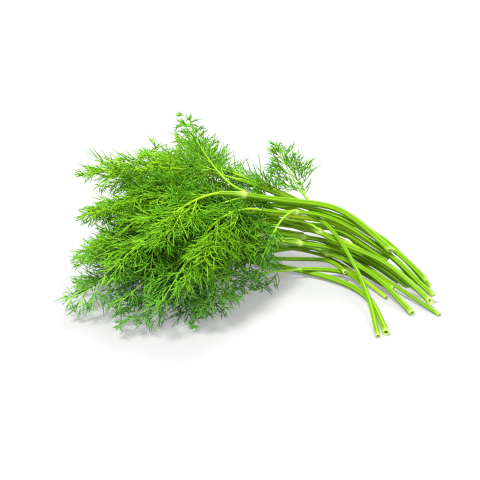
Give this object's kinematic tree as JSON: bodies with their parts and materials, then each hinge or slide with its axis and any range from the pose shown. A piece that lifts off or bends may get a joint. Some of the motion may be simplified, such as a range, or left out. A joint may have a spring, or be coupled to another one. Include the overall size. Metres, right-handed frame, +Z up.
{
  "type": "bunch of dill",
  "caption": "Cut bunch of fresh dill lying on its side: round hollow green stems gathered at a narrow waist, fanning out into feathery thread-leaved fronds.",
  "frame": {"origin": "middle of the bunch's bounding box, on the surface it lies on", "axes": "+X along the bunch towards the cut stem ends, +Y towards its back, +Z up"},
  "size_m": [0.3006, 0.229, 0.1268],
  "materials": {
    "stem": "smooth, slightly waxy green stem with fine pale ribs",
    "stem_pale": "smooth, slightly waxy lime-green stem with fine pale ribs",
    "frond_top": "fine fresh green leaf threads",
    "frond_side": "fine darker green leaf threads"
  },
  "bodies": {
    "root": {"stem_01": "stem", "stem_02": "stem", "stem_03": "stem", "stem_04": "stem_pale", "stem_05": "stem", "stem_06": "stem", "stem_07": "stem", "stem_08": "stem_pale", "stem_09": "stem", "stem_10": "stem", "stem_11": "stem", "stem_12": "stem_pale", "stem_13": "stem", "stem_14": "stem", "stem_15": "stem", "stem_16": "stem_pale", "stem_17": "stem", "stem_18": "stem", "stem_19": "stem", "stem_20": "stem_pale", "stem_21": "stem", "stem_22": "stem", "top_frond_01": "frond_top", "top_frond_02": "frond_top", "top_frond_03": "frond_top", "top_frond_04": "frond_top", "top_frond_05": "frond_top", "top_frond_06": "frond_top", "top_frond_07": "frond_top", "top_frond_08": "frond_top", "top_frond_09": "frond_top", "top_frond_10": "frond_top", "top_frond_11": "frond_top", "top_frond_12": "frond_top", "top_frond_13": "frond_top", "top_frond_14": "frond_top", "top_frond_15": "frond_top", "top_frond_16": "frond_top", "top_frond_17": "frond_top", "top_frond_18": "frond_top", "top_frond_19": "frond_top", "top_frond_20": "frond_top", "top_frond_21": "frond_top", "top_frond_22": "frond_top", "side_frond_07": "frond_side", "side_frond_08": "frond_side", "side_frond_09": "frond_side", "side_frond_10": "frond_side", "side_frond_11": "frond_side", "side_frond_12": "frond_side", "side_frond_13": "frond_side", "side_frond_14": "frond_side", "side_frond_15": "frond_side", "side_frond_16": "frond_side", "side_frond_17": "frond_side", "side_frond_18": "frond_side", "side_frond_19": "frond_side", "side_frond_20": "frond_side", "side_frond_21": "frond_side", "side_frond_22": "frond_side"}
  },
  "joints": []
}
